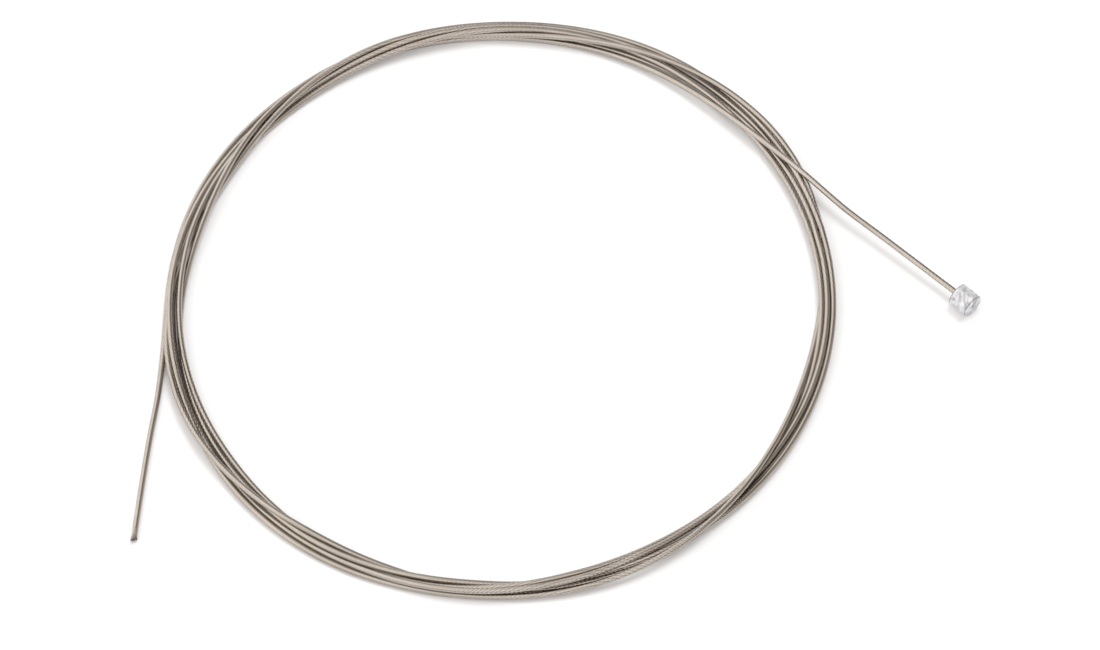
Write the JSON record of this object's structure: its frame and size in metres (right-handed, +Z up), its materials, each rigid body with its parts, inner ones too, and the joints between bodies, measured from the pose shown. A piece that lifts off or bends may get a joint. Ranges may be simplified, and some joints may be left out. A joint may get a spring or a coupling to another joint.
{
  "type": "bicycle gear cable",
  "caption": "Coiled stainless inner gear cable with a cast barrel nipple at its head and a bare cut tail.",
  "frame": {"origin": "on the table, under the middle of the box round the whole piece", "axes": "+Z up out of the coil's plane, +X from the coil towards the barrel nipple's side, +Y away from the viewer of the picture"},
  "size_m": [0.1524, 0.1236, 0.0044],
  "materials": {
    "stainless_strand": "bright drawn stainless wires, laid in a strand, warm in tone",
    "cast_zinc": "cool grey as-cast zinc, faintly mottled and streaked"
  },
  "bodies": {
    "root": {"barrel_nipple": "cast_zinc", "head_run": "stainless_strand", "wound_turns": "stainless_strand", "cut_tail": "stainless_strand"}
  },
  "joints": []
}
